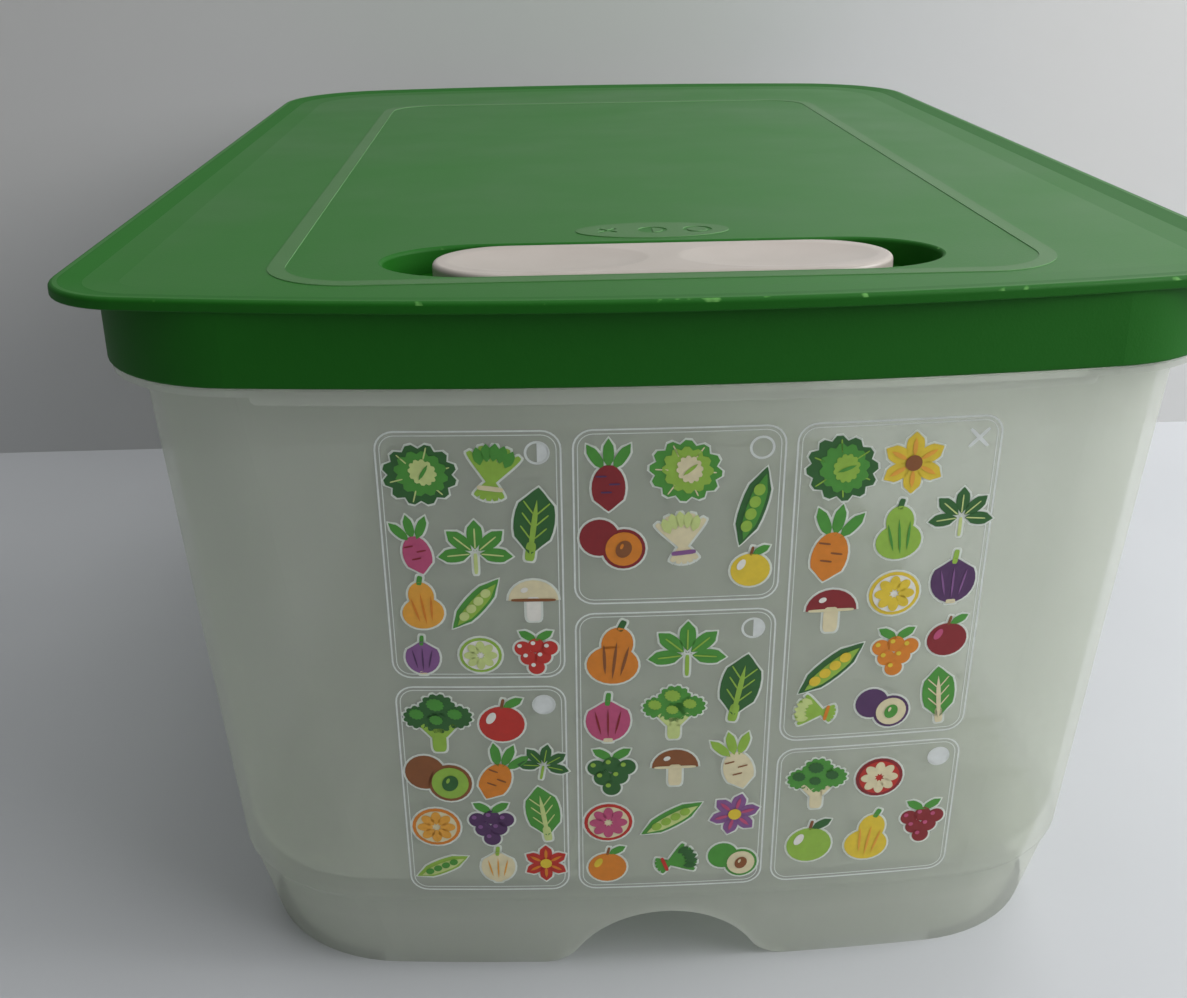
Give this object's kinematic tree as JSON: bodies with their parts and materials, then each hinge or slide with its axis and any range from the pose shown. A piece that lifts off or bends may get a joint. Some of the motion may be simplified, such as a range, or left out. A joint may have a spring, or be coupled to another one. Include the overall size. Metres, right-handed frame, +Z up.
{
  "type": "produce keeper",
  "caption": "Refrigerator produce keeper: drafted translucent tub on an arched foot ring, lift-off lid with overhanging flange and a sliding vent that sets the air flow.",
  "frame": {"origin": "on the table, under the middle of the lid", "axes": "+Z up, -Y towards the front end with the vent slider, +X to the right seen from the front"},
  "size_m": [0.192, 0.292, 0.1326],
  "materials": {
    "tub_plastic": "translucent milky polypropylene, satin",
    "lid_plastic": "fine-grained green polyethylene",
    "slider_plastic": "smooth off-white polypropylene"
  },
  "bodies": {
    "tub": {"tub": "tub_plastic"},
    "lid": {"lid": "lid_plastic"},
    "vent": {"vent_slider": "slider_plastic", "vent_shutter": "slider_plastic"}
  },
  "joints": [
    {"name": "lid_lift", "type": "slide", "parent": "tub", "child": "lid", "axis": [0, 0, 1], "range_m": [0, 0.06]},
    {"name": "vent_slide", "type": "slide", "parent": "lid", "child": "vent", "axis": [1, 0, 0], "range_m": [-0.0075, 0.0075]}
  ]
}
